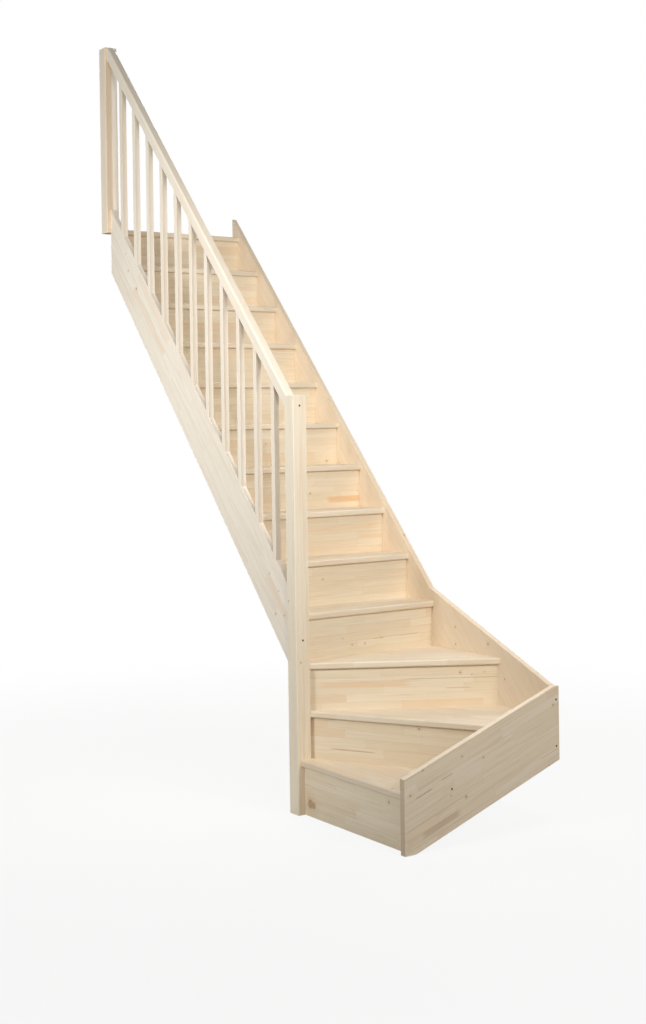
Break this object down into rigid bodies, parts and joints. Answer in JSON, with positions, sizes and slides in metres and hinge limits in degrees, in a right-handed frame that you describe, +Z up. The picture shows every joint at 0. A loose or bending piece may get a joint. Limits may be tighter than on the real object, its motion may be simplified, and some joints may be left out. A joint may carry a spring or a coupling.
{
  "type": "quarter-turn winder staircase",
  "caption": "Closed-riser pine staircase that turns a quarter at the bottom on kite winders, with a square-spindle balustrade between newels on its inner side.",
  "frame": {"origin": "centre of the start newel's foot, on the floor", "axes": "+Z up; +X is the way one takes the first step, across the straight flight to the wall side; +Y is the way the straight flight climbs"},
  "size_m": [0.831, 2.6134, 3.7323],
  "materials": {
    "newel_pine": "planed, unfinished pine",
    "string_pine": "planed, edge-glued pine",
    "rail_pine": "planed pine",
    "riser_pine": "planed, edge-glued pine",
    "tread_pine": "planed, edge-glued pine"
  },
  "bodies": {
    "root": {"newel_post": "newel_pine", "top_newel": "newel_pine", "handrail": "rail_pine", "inner_string": "string_pine", "wall_string": "string_pine", "front_string": "string_pine", "baluster_01": "rail_pine", "baluster_02": "rail_pine", "baluster_03": "rail_pine", "baluster_04": "rail_pine", "baluster_05": "rail_pine", "baluster_06": "rail_pine", "baluster_07": "rail_pine", "baluster_08": "rail_pine", "baluster_09": "rail_pine", "baluster_10": "rail_pine", "baluster_11": "rail_pine", "tread_01": "tread_pine", "tread_02": "tread_pine", "tread_03": "tread_pine", "tread_04": "tread_pine", "tread_05": "tread_pine", "tread_06": "tread_pine", "tread_07": "tread_pine", "tread_08": "tread_pine", "tread_09": "tread_pine", "tread_10": "tread_pine", "tread_11": "tread_pine", "tread_12": "tread_pine", "landing_nosing": "tread_pine", "riser_01": "riser_pine", "riser_02": "riser_pine", "riser_03": "riser_pine", "riser_04": "riser_pine", "riser_05": "riser_pine", "riser_06": "riser_pine", "riser_07": "riser_pine", "riser_08": "riser_pine", "riser_09": "riser_pine", "riser_10": "riser_pine", "riser_11": "riser_pine", "riser_12": "riser_pine", "riser_13": "riser_pine"}
  },
  "joints": []
}
